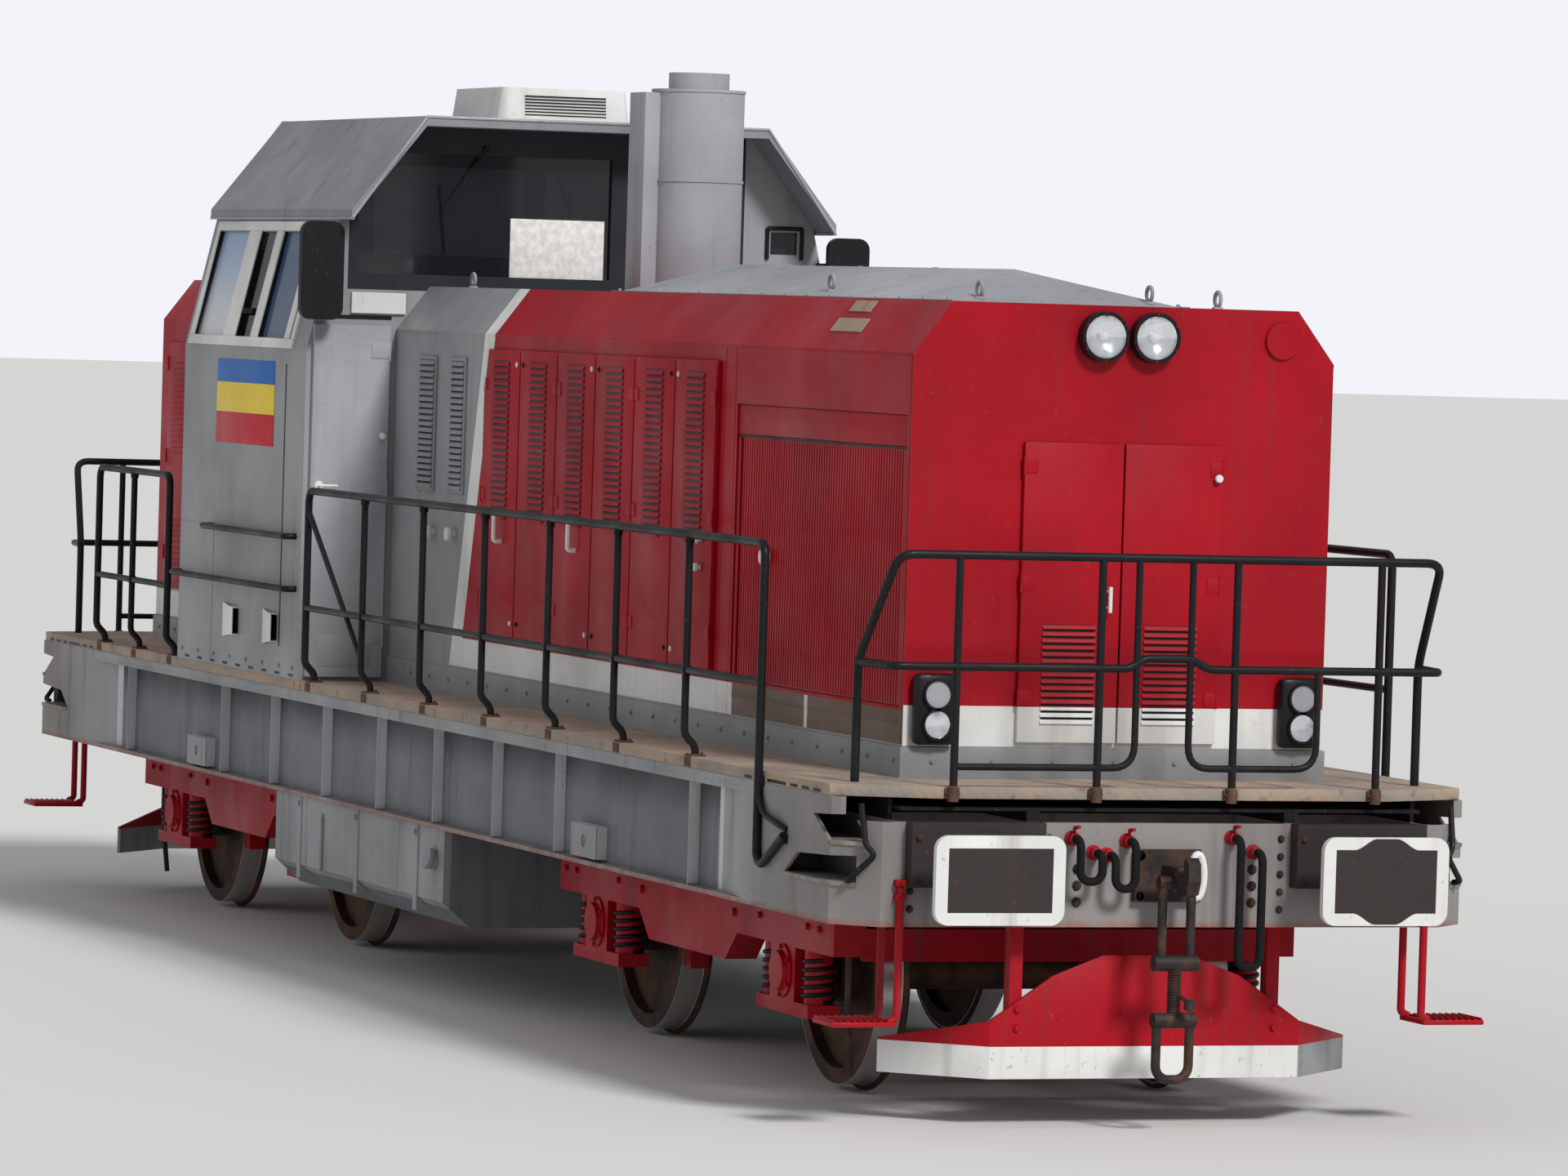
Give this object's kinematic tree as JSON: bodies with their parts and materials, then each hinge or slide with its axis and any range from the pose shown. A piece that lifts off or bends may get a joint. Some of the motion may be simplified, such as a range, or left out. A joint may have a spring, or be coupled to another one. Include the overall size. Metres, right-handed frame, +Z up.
{
  "type": "diesel locomotive",
  "caption": "Diesel hydraulic road-switcher locomotive with two powered bogies, long hood, off-centre cab, short rear hood, walkways and buffers.",
  "frame": {"origin": "on the plane of the wheel flanges' lowest points, midway between the buffer faces and the two sides", "axes": "+X towards the long hood end, +Y to the left, +Z up"},
  "size_m": [13.7, 3.078, 4.5579],
  "materials": {
    "black_steel": "satin",
    "deck_plate": "worn",
    "glass": "clear",
    "grey_paint": "satin",
    "light_grey": "satin",
    "red_paint": "satin",
    "rubber": "matte",
    "wheel_steel": "worn",
    "white_paint": "satin"
  },
  "bodies": {
    "frame": {"side_girders": "grey_paint", "jacking_pads": "grey_paint", "corner_steps": "grey_paint", "underframe": "grey_paint", "end_beams": "grey_paint", "deck": "deck_plate", "buffers": "black_steel", "draw_gear": "black_steel", "brake_hoses": "rubber", "ploughs": "red_paint", "foot_steps": "red_paint", "fuel_tank": "grey_paint", "engine": "grey_paint", "long_hood": "red_paint", "rear_hood": "red_paint", "louvre_panels": "grey_paint", "radiator_panels": "red_paint", "roof_cover": "light_grey", "exhaust_stack": "light_grey", "headlamps": "black_steel", "marker_lamps": "black_steel", "cab_left_wall": "grey_paint", "cab_right_wall": "grey_paint", "cab_front_wall": "light_grey", "cab_rear_wall": "grey_paint", "cab_windows": "glass", "window_frames": "white_paint", "cab_floor": "grey_paint", "cab_roof": "grey_paint", "control_desk": "grey_paint", "driver_seats": "black_steel", "mirrors": "black_steel", "air_conditioner": "white_paint", "cab_grab_rails": "black_steel", "side_handrails": "black_steel", "end_handrails": "black_steel"},
    "front_bogie": {"front_bogie": "red_paint"},
    "rear_bogie": {"rear_bogie": "red_paint"},
    "wheelset_1": {"wheelset_1": "wheel_steel"},
    "wheelset_2": {"wheelset_2": "wheel_steel"},
    "wheelset_3": {"wheelset_3": "wheel_steel"},
    "wheelset_4": {"wheelset_4": "wheel_steel"},
    "right_hood_door_1": {"right_hood_door_1": "red_paint"},
    "right_hood_door_2": {"right_hood_door_2": "red_paint"},
    "right_hood_door_3": {"right_hood_door_3": "red_paint"},
    "right_hood_door_4": {"right_hood_door_4": "red_paint"},
    "right_hood_door_5": {"right_hood_door_5": "red_paint"},
    "right_hood_door_6": {"right_hood_door_6": "red_paint"},
    "left_hood_door_1": {"left_hood_door_1": "red_paint"},
    "left_hood_door_2": {"left_hood_door_2": "red_paint"},
    "left_hood_door_3": {"left_hood_door_3": "red_paint"},
    "left_hood_door_4": {"left_hood_door_4": "red_paint"},
    "left_hood_door_5": {"left_hood_door_5": "red_paint"},
    "left_hood_door_6": {"left_hood_door_6": "red_paint"},
    "front_right_hood_door": {"front_right_hood_door": "red_paint"},
    "front_left_hood_door": {"front_left_hood_door": "red_paint"},
    "cab_right_door": {"cab_right_door": "light_grey"},
    "cab_left_door": {"cab_left_door": "light_grey"}
  },
  "joints": [
    {"name": "front_bogie_turn", "type": "hinge", "parent": "frame", "child": "front_bogie", "pos_m": [3.6, 0, 0.9], "axis": [0, 0, 1], "range_deg": [-3, 3]},
    {"name": "rear_bogie_turn", "type": "hinge", "parent": "frame", "child": "rear_bogie", "pos_m": [-3.6, 0, 0.9], "axis": [0, 0, 1], "range_deg": [-3, 3]},
    {"name": "wheelset_1_spin", "type": "hinge", "parent": "front_bogie", "child": "wheelset_1", "pos_m": [4.85, 0, 0.528], "axis": [0, 1, 0], "continuous": true},
    {"name": "wheelset_2_spin", "type": "hinge", "parent": "front_bogie", "child": "wheelset_2", "pos_m": [2.35, 0, 0.528], "axis": [0, 1, 0], "continuous": true},
    {"name": "wheelset_3_spin", "type": "hinge", "parent": "rear_bogie", "child": "wheelset_3", "pos_m": [-2.35, 0, 0.528], "axis": [0, 1, 0], "continuous": true},
    {"name": "wheelset_4_spin", "type": "hinge", "parent": "rear_bogie", "child": "wheelset_4", "pos_m": [-4.85, 0, 0.528], "axis": [0, 1, 0], "continuous": true},
    {"name": "right_hood_door_1_hinge", "type": "hinge", "parent": "frame", "child": "right_hood_door_1", "pos_m": [0.178, -0.9973, 2.4], "axis": [0, 0, -1], "range_deg": [0, 38]},
    {"name": "right_hood_door_2_hinge", "type": "hinge", "parent": "frame", "child": "right_hood_door_2", "pos_m": [1.288, -0.9973, 2.4], "axis": [0, 0, 1], "range_deg": [0, 38]},
    {"name": "right_hood_door_3_hinge", "type": "hinge", "parent": "frame", "child": "right_hood_door_3", "pos_m": [1.304, -0.9973, 2.4], "axis": [0, 0, -1], "range_deg": [0, 38]},
    {"name": "right_hood_door_4_hinge", "type": "hinge", "parent": "frame", "child": "right_hood_door_4", "pos_m": [2.414, -0.9973, 2.4], "axis": [0, 0, 1], "range_deg": [0, 38]},
    {"name": "right_hood_door_5_hinge", "type": "hinge", "parent": "frame", "child": "right_hood_door_5", "pos_m": [2.43, -0.9973, 2.4], "axis": [0, 0, -1], "range_deg": [0, 38]},
    {"name": "right_hood_door_6_hinge", "type": "hinge", "parent": "frame", "child": "right_hood_door_6", "pos_m": [3.54, -0.9973, 2.4], "axis": [0, 0, 1], "range_deg": [0, 38]},
    {"name": "left_hood_door_1_hinge", "type": "hinge", "parent": "frame", "child": "left_hood_door_1", "pos_m": [0.178, 0.9973, 2.4], "axis": [0, 0, 1], "range_deg": [0, 38]},
    {"name": "left_hood_door_2_hinge", "type": "hinge", "parent": "frame", "child": "left_hood_door_2", "pos_m": [1.288, 0.9973, 2.4], "axis": [0, 0, -1], "range_deg": [0, 38]},
    {"name": "left_hood_door_3_hinge", "type": "hinge", "parent": "frame", "child": "left_hood_door_3", "pos_m": [1.304, 0.9973, 2.4], "axis": [0, 0, 1], "range_deg": [0, 38]},
    {"name": "left_hood_door_4_hinge", "type": "hinge", "parent": "frame", "child": "left_hood_door_4", "pos_m": [2.414, 0.9973, 2.4], "axis": [0, 0, -1], "range_deg": [0, 38]},
    {"name": "left_hood_door_5_hinge", "type": "hinge", "parent": "frame", "child": "left_hood_door_5", "pos_m": [2.43, 0.9973, 2.4], "axis": [0, 0, 1], "range_deg": [0, 38]},
    {"name": "left_hood_door_6_hinge", "type": "hinge", "parent": "frame", "child": "left_hood_door_6", "pos_m": [3.54, 0.9973, 2.4], "axis": [0, 0, -1], "range_deg": [0, 38]},
    {"name": "front_right_hood_door_hinge", "type": "hinge", "parent": "frame", "child": "front_right_hood_door", "pos_m": [5.9533, -0.46, 2.2], "axis": [0, 0, -1], "range_deg": [0, 80]},
    {"name": "front_left_hood_door_hinge", "type": "hinge", "parent": "frame", "child": "front_left_hood_door", "pos_m": [5.9533, 0.46, 2.2], "axis": [0, 0, 1], "range_deg": [0, 80]},
    {"name": "cab_right_door_hinge", "type": "hinge", "parent": "frame", "child": "cab_right_door", "pos_m": [-1.3347, -1.012, 2.4], "axis": [0, 0, 1], "range_deg": [0, 85]},
    {"name": "cab_left_door_hinge", "type": "hinge", "parent": "frame", "child": "cab_left_door", "pos_m": [-1.3347, 1.012, 2.4], "axis": [0, 0, -1], "range_deg": [0, 85]}
  ]
}
